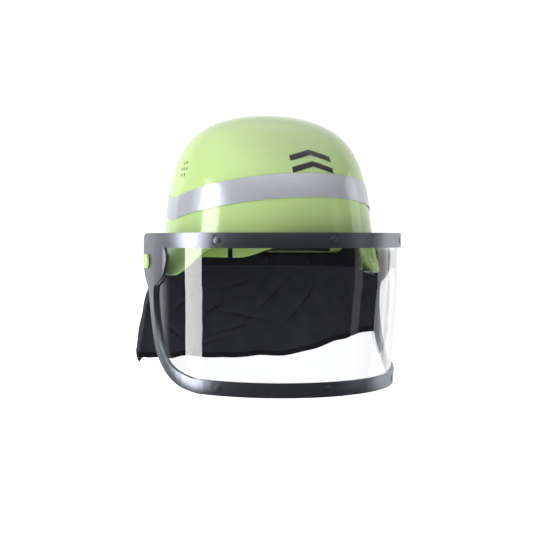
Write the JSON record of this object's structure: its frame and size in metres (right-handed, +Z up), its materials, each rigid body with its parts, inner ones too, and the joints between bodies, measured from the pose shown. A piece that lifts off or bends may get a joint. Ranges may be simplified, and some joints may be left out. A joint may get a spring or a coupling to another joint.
{
  "type": "firefighter helmet",
  "caption": "Luminous plastic fire helmet with reflective bands, a clear wrap-round visor on side pivots, an inner head harness and a cloth neck curtain.",
  "frame": {"origin": "middle of the head opening, halfway between the two visor pivots", "axes": "-Y towards the wearer's front, +X across the helmet through the right-hand side in a front view, +Z up through the crown"},
  "size_m": [0.2532, 0.2837, 0.2595],
  "materials": {
    "shell_plastic": "glossy luminous yellow-green moulded shell",
    "reflective_tape": "silver reflective tape",
    "decal_film": "black film",
    "band_plastic": "green polyethylene band",
    "pad_cloth": "padded sweat band cloth",
    "harness_plastic": "black harness plastic",
    "strap_webbing": "woven crown webbing",
    "pin_metal": "turned pin",
    "button_plastic": "glossy pale green cap",
    "washer_plastic": "friction washer",
    "frame_plastic": "satin grey visor frame",
    "clear_pane": "clear flexible pane",
    "stud_plastic": "grey rivet heads",
    "neck_cloth": "thin charcoal woven cloth",
    "hem_cloth": "folded and stitched hem",
    "snap_cap": "black lacquered snap caps"
  },
  "bodies": {
    "helmet": {"shell": "shell_plastic", "front_reflective_tape": "reflective_tape", "rear_reflective_tape": "reflective_tape", "front_decal": "decal_film", "headband": "band_plastic", "brow_pad": "pad_cloth", "lengthwise_crown_strap": "strap_webbing", "crosswise_crown_strap": "strap_webbing", "crown_pad": "pad_cloth", "hanger_clips": "harness_plastic", "band_hangers": "harness_plastic", "left_pivot_pin": "pin_metal", "right_pivot_pin": "pin_metal", "left_pivot_button": "button_plastic", "right_pivot_button": "button_plastic", "left_pivot_washer": "washer_plastic", "right_pivot_washer": "washer_plastic", "left_pivot_nut": "pin_metal", "right_pivot_nut": "pin_metal", "neck_cloth": "neck_cloth", "neck_cloth_hem": "hem_cloth", "neck_cloth_binding": "hem_cloth", "neck_cloth_snaps": "snap_cap"},
    "visor": {"visor_frame": "frame_plastic", "visor_pane": "clear_pane", "upper_visor_studs": "stud_plastic", "lower_visor_studs": "stud_plastic"},
    "nape": {"nape_strap": "harness_plastic", "nape_pad": "pad_cloth", "size_pegs": "harness_plastic"}
  },
  "joints": [
    {"name": "visor_lift", "type": "hinge", "parent": "helmet", "child": "visor", "pos_m": [0, 0, 0], "axis": [-1, 0, 0], "range_deg": [0, 68]},
    {"name": "nape_size", "type": "slide", "parent": "helmet", "child": "nape", "axis": [0, 1, 0], "range_m": [-0.01, 0.0025]}
  ]
}
